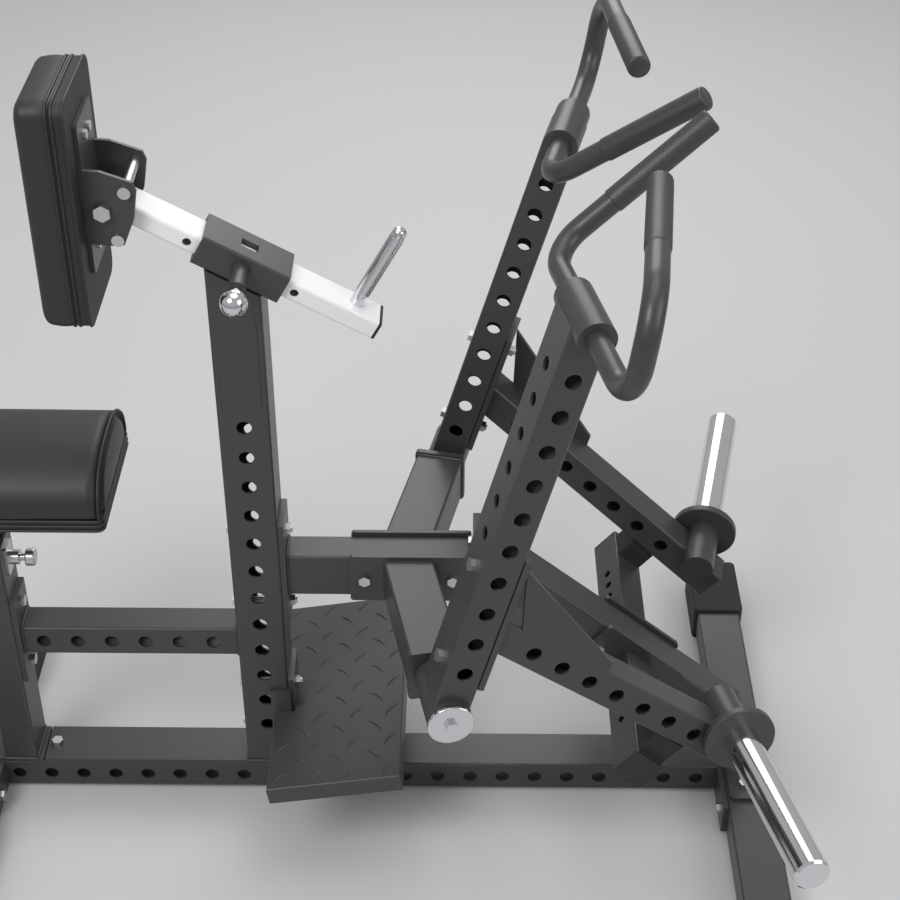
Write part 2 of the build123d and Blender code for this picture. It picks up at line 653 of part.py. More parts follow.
def liners():
    """Plastic glide liners: one in the slide head, one in the seat post."""
    half_l = HEAD_LENGTH / 2
    room_w, room_d = SLIDE_WIDTH / 2 + RUN, SLIDE_DEPTH / 2 + RUN
    head = head_box((-half_l, half_l), (-room_w - LINER, room_w + LINER), (-room_d - LINER, room_d + LINER))
    head = head - head_box((-half_l - 5, half_l + 5), (-room_w, room_w), (-room_d, room_d))
    head = head - head_box((-12, 12), (-9, 9), (0, room_d + 10))
    head = head - rod(in_head(0, -HEAD_WIDTH, 0), in_head(0, -10, 0), PIN_RADIUS + 1.5)
    wide, deep = TUBE_SHORT - 2 * TUBE_WALL, TUBE_LONG - 2 * TUBE_WALL
    outer = box((SEAT_POST_X - wide / 2, SEAT_POST_X + wide / 2), (-deep / 2, deep / 2),
                (SEAT_POST_TOP - 60, SEAT_POST_TOP))
    outer = fillet(outer.edges().filter_by(Axis.Z), TUBE_CORNER - TUBE_WALL / 2)
    rim = box((SEAT_POST_X - 25, SEAT_POST_X + 25), (-35, 35), (SEAT_POST_TOP, SEAT_POST_TOP + 3))
    gap_x, gap_y = SEAT_TUBE[0] / 2 + RUN, SEAT_TUBE[1] / 2 + RUN
    seat = outer + rim - box((SEAT_POST_X - gap_x, SEAT_POST_X + gap_x), (-gap_y, gap_y), (300, 600))
    seat = seat - rod((SEAT_POST_X, 0, LATCH_Z), (SEAT_POST_X + 60, 0, LATCH_Z), 6.2)
    return [head, seat]


def pin_barrel():
    start = -HEAD_WIDTH / 2
    body = ring(in_head(0, start, 0), in_head(0, start - BARREL_LENGTH, 0), BARREL_RADIUS, BARREL_RADIUS - 3)
    lid = ring(in_head(0, start - BARREL_LENGTH, 0), in_head(0, start - BARREL_LENGTH - 3, 0),
               BARREL_RADIUS, PIN_RADIUS + 0.06)
    return body + lid


def pin_spring():
    """The plunger's spring, at the length it is squeezed to against the barrel's lid."""
    start = -HEAD_WIDTH / 2 - BARREL_LENGTH + 1.0
    length = 10.5
    coil = Helix(pitch=length / 5, height=length, radius=7.0)
    wire = sweep(Plane(origin=coil @ 0, z_dir=coil % 0) * Circle(0.8), path=coil, is_frenet=True)
    plane = Plane(origin=in_head(0, start, 0), z_dir=(0, 1, 0))
    return plane * wire


def pin_plunger():
    inner = in_head(0, -SLIDE_WIDTH / 2 - PIN_CLEAR, 0)
    outer = in_head(0, -KNOB_Y + KNOB_RADIUS - 4, 0)
    body = rod(inner, outer, PIN_RADIUS)
    shoulder_y = -HEAD_WIDTH / 2 - BARREL_LENGTH + 25
    return body + rod(in_head(0, shoulder_y, 0), in_head(0, shoulder_y + 5, 0), BARREL_RADIUS - 3.2)


def pin_knob():
    ball = Pos(*in_head(0, -KNOB_Y, 0)) * Sphere(KNOB_RADIUS)
    neck = rod(in_head(0, -KNOB_Y + KNOB_RADIUS + 2, 0), in_head(0, -KNOB_Y, 0), 9)
    core = rod(in_head(0, -60, 0), in_head(0, -KNOB_Y + KNOB_RADIUS - 4, 0), PIN_RADIUS)
    return ball + neck - core


def slide_tube():
    start, end = in_head(SLIDE_REAR, 0, 0), in_head(SLIDE_FRONT - 4, 0, 0)
    body = tube(start, end, (0, 1, 0), SLIDE_WIDTH, SLIDE_DEPTH, 2.5)
    holes = [in_head(k * SLIDE_PITCH, -SLIDE_WIDTH / 2, 0) for k in (-1, 0, 1)]
    body = drill(body, holes, (0, 1, 0), PIN_HOLE, 10)
    pivot = (PAD_PIVOT_X, 0, PAD_PIVOT_Z)
    body = drill(body, [pivot], (0, 1, 0), 6)
    return body - rod(in_head(PEG_AT, 0, 5), in_head(PEG_AT, 0, 30), PEG_RADIUS - 3)


def slide_cap():
    plane = head_plane()
    face = Plane(origin=in_head(SLIDE_FRONT - 4, 0, 0), x_dir=(0, 1, 0), z_dir=plane.x_dir)
    lid = extrude(face * RectangleRounded(SLIDE_WIDTH, SLIDE_DEPTH, TUBE_CORNER), amount=4)
    plug = extrude(face * RectangleRounded(SLIDE_WIDTH - 5, SLIDE_DEPTH - 5, TUBE_CORNER - 1.25), amount=-12)
    return lid + plug


def peg_handle():
    """The knurled peg that slides the chest pad in and out."""
    body = rod(in_head(PEG_AT, 0, SLIDE_DEPTH / 2), in_head(PEG_AT, 0, SLIDE_DEPTH / 2 + PEG_LENGTH), PEG_RADIUS)
    body = fillet(body.edges().sort_by(Axis.Z)[-1], 7)
    return body + rod(in_head(PEG_AT, 0, SLIDE_DEPTH / 2 - 2.5), in_head(PEG_AT, 0, SLIDE_DEPTH / 2), PEG_RADIUS - 3)


def pad_pivot_bolt():
    reach = EAR_Y + EAR_THICK
    shank = rod((PAD_PIVOT_X, -reach, PAD_PIVOT_Z), (PAD_PIVOT_X, reach, PAD_PIVOT_Z), 6)
    ends = []
    for side in (-1, 1):
        plane = Plane(origin=(PAD_PIVOT_X, side * (reach + 0.4), PAD_PIVOT_Z), z_dir=(0, side, 0))
        ends.append(extrude(plane * RegularPolygon(11.5, 6), amount=8))
    joined = shank + ends[0] + ends[1]
    link = rod((PAD_PIVOT_X, -reach - 2, PAD_PIVOT_Z), (PAD_PIVOT_X, reach + 2, PAD_PIVOT_Z), 6)
    return joined + link


def pad_bracket():
    """The clevis: a back plate with two rounded ears that straddle the slide tube."""
    x = PAD_BACK_X
    back = box((x, x + 5), (-EAR_Y - EAR_THICK, EAR_Y + EAR_THICK), (932, 1136))
    back = fillet(back.edges().filter_by(Axis.X), 8)
    outline = Polyline(
        (x + 5, 976), (-141, 974), (-128, 975), (-113, 1011), (-106.5, 1049), (-111, 1061.5),
        (-150, 1076), (x + 5, 1077), close=True)
    face = make_face(Plane.XZ * outline)
    ears = []
    for side in (-1, 1):
        low = EAR_Y if side > 0 else -EAR_Y - EAR_THICK
        ears.append(Pos(0, low + EAR_THICK, 0) * extrude(face, amount=EAR_THICK))
    body = back + ears[0] + ears[1]
    body = drill(body, [(PAD_PIVOT_X, 0, PAD_PIVOT_Z)], (0, 1, 0), 6.06)
    spots = [PAD_STOP_HIGH, PAD_STOP_LOW]
    body = drill(body, [(px, 0, pz) for px, pz in spots], (0, 1, 0), 4)
    return drill(body, [(x, s * 12, z) for s in (-1, 1) for z in (960, 1110)], (1, 0, 0), 3.5, 10)


def pad_stops():
    """Spacer bars across the ears, above and below the tube: they limit the tilt."""
    pieces = []
    for px, pz in (PAD_STOP_HIGH, PAD_STOP_LOW):
        bar = rod((px, -EAR_Y, pz), (px, EAR_Y, pz), 6.5)
        pin = rod((px, -EAR_Y - EAR_THICK - 1, pz), (px, EAR_Y + EAR_THICK + 1, pz), 4)
        heads = [rod((px, s * (EAR_Y + EAR_THICK), pz), (px, s * (EAR_Y + EAR_THICK + 5), pz), 8) for s in (-1, 1)]
        pieces.append(bar + pin + heads[0] + heads[1])
    return pieces


def pad_bolts():
    x = PAD_BACK_X + 5
    pieces = []
    for y in (-12, 12):
        for z in (960, 1110):
            head = rod((x, y, z), (x + 4, y, z), 6.5)
            pieces.append(head + rod((x - 12, y, z), (x, y, z), 3.5))
    return pieces


def pad_block(low, high, grow=0.0):
    """A slab of the pad's outline between two distances behind its back face."""
    size_z = PAD_TOP - PAD_BOTTOM + 2 * grow
    plane = Plane(origin=(PAD_BACK_X - low, 0, (PAD_TOP + PAD_BOTTOM) / 2), x_dir=(0, 1, 0), z_dir=(-1, 0, 0))
    return extrude(plane * RectangleRounded(PAD_WIDTH + 2 * grow, size_z, PAD_CORNER), amount=high - low)


def chest_board():
    board = pad_block(0, PAD_BOARD)
    return drill(board, [(PAD_BACK_X, s * 12, z) for s in (-1, 1) for z in (960, 1110)], (1, 0, 0), 3.5, 10)


def chest_cushion():
    block = pad_block(PAD_BOARD, PAD_THICK)
    return fillet(block.edges().sort_by(Axis.X)[:8], 8)


# ---- seat ----
def seat_tube():
    """The inner height tube with the plate that carries the seat."""
    wide, deep = SEAT_TUBE
    start, end = (SEAT_POST_X, 0, SEAT_TUBE_FOOT), (SEAT_POST_X, 0, SEAT_UNDER - 8)
    body = tube(start, end, (1, 0, 0), wide, deep, 2.5)
    plate = box((SEAT_POST_X - 130, SEAT_POST_X + 130), (-45, 45), (SEAT_UNDER - 8, SEAT_UNDER))
    plate = fillet(plate.edges().filter_by(Axis.Z), 10)
    holes = [(SEAT_POST_X + wide / 2, 0, LATCH_Z - k * SEAT_HOLE_PITCH) for k in range(-2, 3)]
    body = drill(body + plate, holes, (1, 0, 0), 6, 8)
    return drill(body, seat_bolt_points(), (0, 0, 1), 4, 12)


def seat_bolt_points():
    return [(SEAT_POST_X + sx * 105, sy * 28, SEAT_UNDER) for sx in (-1, 1) for sy in (-1, 1)]


def seat_bolts():
    return [rod((x, y, z - 8), (x, y, z + 10), 4) + rod((x, y, z - 13), (x, y, z - 8), 8)
            for x, y, z in seat_bolt_points()]


def seat_board():
    board = box(SEAT_X, (-SEAT_HALF_WIDTH, SEAT_HALF_WIDTH), (SEAT_UNDER, SEAT_UNDER + SEAT_BOARD))
    board = fillet(board.edges().filter_by(Axis.Z), 10)
    return drill(board, seat_bolt_points(), (0, 0, 1), 4, 10)


def seat_cushion():
    """A barrel-topped bench cushion, its section a flat-based dome."""
    low = SEAT_UNDER + SEAT_BOARD
    half = SEAT_HALF_WIDTH
    sides = Polyline((half - 4, low), (-half + 4, low))
    left = Line((-half + 4, low), (-half, low + 14))
    right = Line((half, low + 14), (half - 4, low))
    dome = Spline((-half, low + 14), (-half * 0.72, low + 50), (0, low + SEAT_RISE), (half * 0.72, low + 50),
                  (half, low + 14), tangents=((0, 1), (0, -1)))
    face = make_face([sides, left, dome, right])
    plane = Plane(origin=(SEAT_X[0], 0, 0), x_dir=(0, 1, 0), z_dir=(1, 0, 0))
    return extrude(plane * face, amount=SEAT_X[1] - SEAT_X[0])


def latch_body():
    """The spring latch's housing on the front of the seat post."""
    x = SEAT_POST_X + TUBE_SHORT / 2
    plate = box((x, x + 4), (-16, 16), (LATCH_Z - 24, LATCH_Z + 24))
    plate = fillet(plate.edges().filter_by(Axis.X), 5)
    collar = rod((x, 0, LATCH_Z), (x + 18, 0, LATCH_Z), 11)
    return plate + collar - rod((x - 5, 0, LATCH_Z), (x + 30, 0, LATCH_Z), 5.56)


def latch_pin():
    x = SEAT_POST_X + SEAT_TUBE[0] / 2
    pin = rod((x + PIN_CLEAR, 0, LATCH_Z), (x + 32, 0, LATCH_Z), 5.5)
    knob = rod((x + 32, 0, LATCH_Z), (x + 46, 0, LATCH_Z), 13)
    return pin + fillet(knob.edges(), 3)


# ---- fasteners of the frame ----
def frame_bolts():
    pieces = []
    for x, half in ((SPINE_FRONT, 120.0), (SPINE_REAR, 105.0)):
        way = 1 if x > 0 else -1
        for side in (-1, 1):
            pieces.append(bolt((x, side * (half - 23), SPINE_Z), (way, 0, 0), TUBE_LONG + FLANGE))
    for z in POST_BOLT_Z:
        pieces.append(bolt((-POST_HALF, 0, z), (1, 0, 0), TUBE_LONG + FLANGE))
    for x in ARM_BOLT_X:
        side = TUBE_SHORT / 2 + PLATE
        pieces.append(bolt((x, -side, BEAM_Z), (0, 1, 0), 2 * side))
    for spot in stop_bolt_points():
        side = STRUT_WIDTH / 2 + PLATE
        pieces.append(bolt((spot.X, -side, spot.Z), (0, 1, 0), 2 * side))
    pieces.append(screw((BEAM_END, 0, STRUT_BOLT_Z), (1, 0, 0), 2 * FLANGE))
    for x, y in ((-336, 0), (49, 0), (724, 77), (724, -77)):
        pieces.append(screw((x, y, DECK), (0, 0, -1), PLATE))
    face = SEAT_POST_X + TUBE_SHORT / 2 + FLANGE
    for side in (-1, 1):
        pieces.append(screw((face, 0, MID_RAIL_Z + side * 58), (-1, 0, 0), FLANGE + TUBE_WALL))
    return pieces


add("spine", spine())
add("spine_flanges", spine_flanges())
add("front_foot", cross_foot(FRONT_FOOT_X, FRONT_FOOT_LENGTH, FOOT_BOLT_Y))
add("rear_foot", cross_foot(REAR_FOOT_X, REAR_FOOT_LENGTH, 82.0))
add("foot_shoes", [foot_shoe(x, length, side)
                   for x, length in ((FRONT_FOOT_X, FRONT_FOOT_LENGTH), (REAR_FOOT_X, REAR_FOOT_LENGTH))
                   for side in (-1, 1)])
add("base_plate", base_plate())
add("seat_post", seat_post())
add("mid_rail", mid_rail())
add("main_post", main_post())
add("beam", beam())
add_pair("yoke_arm", yoke_arm())
add("pivot_shafts", both(pivot_shaft()))
add("pivot_discs", both(pivot_disc()))
add("strut", strut())
add("strut_foot", strut_foot())
add_pair("stop_bar", stop_bar())
add("stop_bar_caps", both(stop_cap()))
add("stop_pads", both(stop_pad()))
add("foot_plate", foot_plate())
add("foot_plate_bracket", foot_plate_bracket())
add("slide_head", slide_head())
add("liners", liners())
add("pin_barrel", pin_barrel())
add("pin_spring", pin_spring())
add("pin_plunger", pin_plunger())
add("pin_knob", pin_knob())
add("slide_tube", slide_tube())
add("slide_cap", slide_cap())
add("peg_handle", peg_handle())
add("pad_pivot_bolt", pad_pivot_bolt())
add("pad_bracket", pad_bracket())
add("pad_stops", pad_stops())
add("pad_bolts", pad_bolts())
add("chest_board", chest_board())
add("chest_cushion", chest_cushion())
add("seat_tube", seat_tube())
add("seat_bolts", seat_bolts())
add("seat_board", seat_board())
add("seat_cushion", seat_cushion())
add("latch_body", latch_body())
add("latch_pin", latch_pin())
add("frame_bolts", frame_bolts())
add_pair("lever_upright", lever_upright())
add_pair("lever_bar", lever_bar())
add_pair("horn_collar", horn_collar())
add_pair("horn", horn())
add_pair("handle", handle())
for name, pieces in (("pivot_bearings", bearings()), ("lever_bolts", lever_bolts()), ("grips", grips())):
    add(name + "_left", pieces)
    add(name + "_right", [mirror(p, about=Plane.XZ) for p in pieces])

# The origin is the middle of the machine's length, from the seat's end to the foot bolts' ends.
REAR_MOST = SEAT_X[0]
FRONT_MOST = FRONT_FOOT_X + TUBE_LONG / 2 + BOLT_HEAD_HEIGHT + 3
ORIGIN_X = (REAR_MOST + FRONT_MOST) / 2

os.makedirs("parts", exist_ok=True)
for node, shape in NODES.items():
    solids = shape if isinstance(shape, list) else [shape]
    moved = [Pos(-ORIGIN_X, 0, 0) * piece for piece in solids]
    whole = moved[0] if len(moved) == 1 else Compound(children=moved)
    export_step(whole, f"parts/{node}.step")

print("origin x in post frame:", round(ORIGIN_X, 2))
print("pivot:", on_pivot(LEVER_OUTER), "sleeve:", at(*stem(SLEEVE_AT)), "out:", OUT)
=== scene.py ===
import json
import math

import bmesh
import bpy
import numpy as np
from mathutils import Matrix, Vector


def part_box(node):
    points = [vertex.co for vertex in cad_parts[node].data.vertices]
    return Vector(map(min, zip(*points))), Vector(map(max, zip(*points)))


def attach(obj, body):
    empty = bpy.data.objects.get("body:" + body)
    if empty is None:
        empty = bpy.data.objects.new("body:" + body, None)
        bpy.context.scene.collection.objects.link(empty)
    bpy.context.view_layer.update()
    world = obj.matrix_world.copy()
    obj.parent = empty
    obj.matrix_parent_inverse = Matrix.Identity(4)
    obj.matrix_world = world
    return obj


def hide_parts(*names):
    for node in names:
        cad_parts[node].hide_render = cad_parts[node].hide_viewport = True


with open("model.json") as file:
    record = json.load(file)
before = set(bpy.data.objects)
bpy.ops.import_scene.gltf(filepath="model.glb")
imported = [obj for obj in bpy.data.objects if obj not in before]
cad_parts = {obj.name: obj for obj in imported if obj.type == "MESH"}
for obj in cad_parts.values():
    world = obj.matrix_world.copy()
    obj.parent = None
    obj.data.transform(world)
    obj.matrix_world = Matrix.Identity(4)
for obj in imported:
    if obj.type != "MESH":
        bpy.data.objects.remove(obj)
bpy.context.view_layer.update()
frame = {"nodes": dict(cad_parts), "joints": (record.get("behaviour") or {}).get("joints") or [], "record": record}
NODES = frame["nodes"]
SLOT_OF = {part["node"]: part["material_slot"] for part in frame["record"]["subparts"]}
JOINTS = {joint["name"]: joint for joint in frame["joints"]}

# ---- sizes of the visual detail, in metres and degrees ----
OUTLINE_STEP = 0.008          # widest gap between the points of an outline
PIPING = 0.0022               # radius of the piping round boards and cushions
PIPING_OUT = 0.0004           # how far its centre line stands out from the cushion

PAD_CORNER = 0.018            # the chest pad's corners, seen from the front
PAD_ROUND = 0.013             # rounding of its front edge
PAD_CROWN = 0.0035            # swell of its front face
PAD_BULGE = 0.0012            # swell of its sides
PAD_SIDE_STEP = 0.004
PAD_BACK_EDGE = ((0.0, 0.004), (0.003, 0.0008), (0.006, 0.0))   # (depth from the back, inset)

SEAT_EDGE = 0.009             # rounding at the rear edge, and depth of the groove in the front face
SEAT_SWELL = 0.0036           # how far the end faces stand out
SEAT_BULGE = 0.0015           # swell of the crown along the length
SEAT_RIM = 0.006              # straight height of the sides
SEAT_SEAM = 0.004             # distance of the end seams from the ends

GRIP_RADIUS = 0.0152
KNURL_DEPTH = 0.00045
KNURL_SIDES = 96              # points round a grip
KNURL_STARTS = 12             # crossing helices, each way
KNURL_PITCH = 0.0042
KNURL_ROW = 0.00105           # distance between rings of points
KNURL_FADE = 0.004            # the knurl dies away over this length at each end
GRIP_END = 0.0025             # length of the rounding at a grip's ends
GRIP_END_DROP = 0.0022        # and its depth

PEG_RADIUS = 0.0093
PEG_SKIN = 0.0096             # radius of the knurled skin
PEG_KNURL_FROM, PEG_KNURL_TO = 0.016, 0.114

TREAD_TILT = 9.3              # slope of the foot plate
TREAD_LENGTH = 0.1955
TREAD_PITCH_X, TREAD_PITCH_Y = 0.027, 0.060
TREAD_FIRST_ROW = 0.018
TREAD_SIDE_MARGIN, TREAD_END_MARGIN = 0.016, 0.015
TREAD_POST_X, TREAD_POST_Y = 0.052, 0.062                       # bare patch where the post stands
RIDGE_HALF_LENGTH, RIDGE_BOW = 0.0155, 0.0045
RIDGE_HALF_WIDTH, RIDGE_HEIGHT, RIDGE_SUNK = 0.0027, 0.0023, 0.0001
RIDGE_TURNS = (50, -45)       # lie of the ridges in even and odd rows

PANEL_Z = 0.791
PANEL_HALF_W, PANEL_HALF_H, PANEL_CORNER = 0.0265, 0.073, 0.006
PANEL_EDGE = ((-0.0005, 0.0), (0.0007, 0.0), (0.0011, 0.0006), (0.0011, 0.008))   # (out, inset)

WELD_RADIUS, WELD_CORNER = 0.0022, 0.004
HALF_50, HALF_70 = 0.0255, 0.0355                               # half a tube's side, and 0.5 mm
SEAT_TUBE_HALF_X, SEAT_TUBE_HALF_Y = 0.0205, 0.0305
WELD_OFF = 0.001              # distance of a bead from the face it lies on
BEAM_FLANGE, SEAT_FOOT_PLATE, SEAT_TOP_PLATE = 0.008, 0.006, 0.008
ARM_GAP = 0.093               # from a lever's pivot to the yoke arm's end

# ---- camera, at the photograph's angle ----
CAMERA_PLACE = (0.19405, -1.9666, 2.0651)
CAMERA_TILT, CAMERA_TURN = 54.25, 0.63
CAMERA_LENS, CAMERA_SENSOR = 71.02, 36                          # millimetres
CAMERA_SHIFT = (0.0048, -0.0116)


# ---- materials ----
def material(name, color, roughness, metallic=0.0, coat=0.0):
    mat = bpy.data.materials.new(name)
    mat.use_nodes = True
    shader = mat.node_tree.nodes["Principled BSDF"]
    shader.inputs["Base Color"].default_value = (*color, 1)
    shader.inputs["Roughness"].default_value = roughness
    shader.inputs["Metallic"].default_value = metallic
    shader.inputs["Coat Weight"].default_value = coat
    shader.inputs["Coat Roughness"].default_value = 0.25
    return mat


def grain(mat, scale, strength, distance, detail=2.0):
    """A fine bump from noise in the piece's own coordinates."""
    tree = mat.node_tree
    coords = tree.nodes.new("ShaderNodeTexCoord")
    noise = tree.nodes.new("ShaderNodeTexNoise")
    bump = tree.nodes.new("ShaderNodeBump")
    noise.inputs["Scale"].default_value = scale
    noise.inputs["Detail"].default_value = detail
    bump.inputs["Strength"].default_value = strength
    bump.inputs["Distance"].default_value = distance
    tree.links.new(coords.outputs["Object"], noise.inputs["Vector"])
    tree.links.new(noise.outputs["Fac"], bump.inputs["Height"])
    tree.links.new(bump.outputs["Normal"], tree.nodes["Principled BSDF"].inputs["Normal"])
    return mat


MATS = {
    "frame_black": grain(
        material("frame_black", (0.040, 0.041, 0.043), 0.42, coat=0.15), 900, 0.25, 0.0002),
    "handle_black": grain(
        material("handle_black", (0.038, 0.039, 0.041), 0.38, coat=0.15), 900, 0.2, 0.0002),
    "slide_silver": grain(material("slide_silver", (0.86, 0.86, 0.87), 0.34), 700, 0.1, 0.0001),
    "chrome": material("chrome", (0.72, 0.73, 0.75), 0.12, metallic=1.0),
    "zinc_steel": grain(material("zinc_steel", (0.62, 0.62, 0.63), 0.32, metallic=1.0), 500, 0.2, 0.0001),
    "shoe_rubber": grain(material("shoe_rubber", (0.014, 0.014, 0.014), 0.72), 600, 0.3, 0.0003),
    "black_plastic": grain(material("black_plastic", (0.016, 0.016, 0.016), 0.55), 600, 0.15, 0.0002),
    "pad_board": grain(material("pad_board", (0.017, 0.017, 0.018), 0.6), 500, 0.25, 0.0003),
    "pad_vinyl": grain(material("pad_vinyl", (0.020, 0.020, 0.021), 0.5), 420, 0.35, 0.0004, 4.0),
}

# the pop-pin's barrel is painted like the frame, whatever its record slot
for node, obj in NODES.items():
    obj.data.materials.clear()
    obj.data.materials.append(MATS["frame_black" if node == "pin_barrel" else SLOT_OF[node]])


# ---- mesh helpers ----
def mesh_piece(name, verts, faces, body, slot, smooth=True):
    mesh = bpy.data.meshes.new(name)
    mesh.from_pydata([tuple(v) for v in verts], [], faces)
    mesh.validate()
    tidy = bmesh.new()
    tidy.from_mesh(mesh)
    bmesh.ops.recalc_face_normals(tidy, faces=tidy.faces)
    tidy.to_mesh(mesh)
    tidy.free()
    if smooth:
        mesh.shade_smooth()
    obj = bpy.data.objects.new(name, mesh)
    bpy.context.scene.collection.objects.link(obj)
    mesh.materials.append(MATS[slot])
    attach(obj, body)
    return obj


def stack(rings):
    """Faces between successive closed rings of equal count, with a centre point at each end."""
    count = len(rings[0])
    verts = [v for ring in rings for v in ring]
    faces = []
    for r in range(len(rings) - 1):
        for i in range(count):
            j = (i + 1) % count
            faces.append((r * count + i, r * count + j, (r + 1) * count + j, (r + 1) * count + i))
    for ring, base in ((rings[0], 0), (rings[-1], (len(rings) - 1) * count)):
        centre = sum((Vector(v) for v in ring), Vector()) / count
        verts.append(centre)
        faces += [(base + i, base + (i + 1) % count, len(verts) - 1) for i in range(count)]
    return verts, faces


def cord_loop(name, points, radius, body, slot, sides=8):
    """A thin closed bead along a closed run of points."""
    verts, faces = [], []
    count = len(points)
    side = None
    for i, point in enumerate(points):
        along = (points[(i + 1) % count] - points[i - 1]).normalized()
        side = along.orthogonal() if side is None else side - along * side.dot(along)
        side = side.normalized()
        lift = along.cross(side)
        for k in range(sides):
            angle = 2 * math.pi * k / sides
            verts.append(point + side * (radius * math.cos(angle)) + lift * (radius * math.sin(angle)))
    for i in range(count):
        for k in range(sides):
            a, b = i * sides, ((i + 1) % count) * sides
            faces.append((a + k, a + (k + 1) % sides, b + (k + 1) % sides, b + k))
    return mesh_piece(name, verts, faces, body, slot)


# ---- upholstery ----
def rounded_outline(half_w, half_h, radius, count=24):
    """Points round a rounded rectangle, anticlockwise."""
    points = []
    for quarter in range(4):
        cx = (half_w - radius) * (1 if quarter in (0, 3) else -1)
        cy = (half_h - radius) * (1 if quarter in (0, 1) else -1)
        for i in range(count // 4 + 1):
            angle = math.pi / 2 * (quarter + i / (count // 4))
            points.append((cx + radius * math.cos(angle), cy + radius * math.sin(angle)))
    dense = []
    for i, point in enumerate(points):
        nxt = points[(i + 1) % len(points)]
        run_x, run_y = nxt[0] - point[0], nxt[1] - point[1]
        steps = max(1, round(math.hypot(run_x, run_y) / OUTLINE_STEP))
        dense += [(point[0] + run_x * s / steps, point[1] + run_y * s / steps) for s in range(steps)]
    return dense


def chest_pad():
    """The chest cushion with its crowned face, and the piping round its board."""
    low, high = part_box("chest_cushion")
    board_low, board_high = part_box("chest_board")
    middle = (low + high) / 2
    half_w, half_h = (high.y - low.y) / 2, (high.z - low.z) / 2
    outline = rounded_outline(half_w, half_h, PAD_CORNER)

    def ring(x, inset):
        k_w, k_h = (half_w - inset) / half_w, (half_h - inset) / half_h
        return [Vector((x, middle.y + p[0] * k_w, middle.z + p[1] * k_h)) for p in outline]

    rings = [ring(high.x - depth, inset) for depth, inset in PAD_BACK_EDGE]
    side = high.x - PAD_BACK_EDGE[-1][0]
    for i in range(1, 7):
        rings.append(ring(side - PAD_SIDE_STEP * i, -PAD_BULGE * math.sin(math.pi * i / 7)))
    face = low.x + PAD_ROUND
    for i in range(9):
        angle = math.pi / 2 * i / 8
        rings.append(ring(face - PAD_ROUND * math.sin(angle), PAD_ROUND * (1 - math.cos(angle))))
    for i in range(1, 9):
        share = i / 8
        inset = PAD_ROUND + (half_w - PAD_ROUND) * share * 0.98
        rings.append(ring(low.x - PAD_CROWN * math.sin(math.pi / 2 * share), inset))
    cushion = mesh_piece("chest_upholstery", *stack(rings), "chest_pad", "pad_vinyl")
    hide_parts("chest_cushion")
    for number, x in enumerate((board_low.x - 0.0005, board_low.x - 0.0075, board_high.x - 0.002)):
        cord_loop(f"chest_piping_{number}", ring(x, -PIPING_OUT), PIPING, "chest_pad", "pad_vinyl")


def dome(half, height, count=40):
    """The seat's section, (y, z) from the base's left corner over the crown and back."""
    points = []
    for i in range(count + 1):
        angle = math.pi * (1 - i / count)
        c, s = math.cos(angle), math.sin(angle)
        y = half * math.copysign(abs(c) ** 0.8, c)
        z = SEAT_RIM + (height - SEAT_RIM) * abs(s) ** 0.92
        points.append((y, z))
    under = [(half * 0.97 * (1 - 2 * i / 24), 0.0) for i in range(25)]
    return points + under


def seat():
    """The domed seat cushion with its end seams, and the piping round its board."""
    low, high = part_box("seat_cushion")
    half, height = (high.y - low.y) / 2, high.z - low.z
    section = dome(half, height)
    centre = Vector((0, 0.0, low.z + height * 0.42))

    def ring(x, inset):
        k = 1 - inset / half
        out = []
        for y, z in section:
            point = Vector((0, y, low.z + z)) - centre
            out.append(Vector((x, point.y * k + centre.y, max(low.z, point.z * k + centre.z))))
        return out

    def end_inset(share):
        return SEAT_EDGE + (half - SEAT_EDGE) * share

    rings = []
    for i in range(1, 8):
        share = 1 - i / 8
        rings.append(ring(low.x - SEAT_SWELL * math.cos(math.pi / 2 * share), end_inset(share)))
    for i in range(6):
        angle = math.pi / 2 * (1 - i / 5)
        rings.append(ring(low.x + SEAT_EDGE * (1 - math.sin(angle)), SEAT_EDGE * (1 - math.cos(angle))))
    steps = 30
    span = high.x - low.x - 2 * SEAT_EDGE
    for i in range(1, steps):
        rings.append(ring(low.x + SEAT_EDGE + span * i / steps, -SEAT_BULGE * math.sin(math.pi * i / steps)))
    for i in range(6):
        groove = SEAT_EDGE * (1 - math.cos(math.pi / 2 * i / 5))
        rings.append(ring(high.x - groove, groove))
    for i in range(1, 8):
        share = i / 8
        rings.append(ring(high.x + SEAT_SWELL * math.sin(math.pi / 2 * share), end_inset(share)))
    cushion = mesh_piece("seat_upholstery", *stack(rings), "seat", "pad_vinyl")
    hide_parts("seat_cushion")
    for name, x in (("seat_seam_rear", low.x + SEAT_SEAM), ("seat_seam_front", high.x - SEAT_SEAM)):
        cord_loop(name, ring(x, -PIPING_OUT), PIPING, "seat", "pad_vinyl")
    board_low, board_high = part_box("seat_board")
    outline = rounded_outline((board_high.x - board_low.x) / 2, half, 0.01)
    middle = (board_low.x + board_high.x) / 2
    for number, z in enumerate((board_high.z, board_high.z - 0.008, board_low.z + 0.002)):
        points = [Vector((middle + p[0] * 1.001, p[1] * 1.003, z)) for p in outline]
        cord_loop(f"seat_piping_{number}", points, PIPING, "seat", "pad_vinyl")


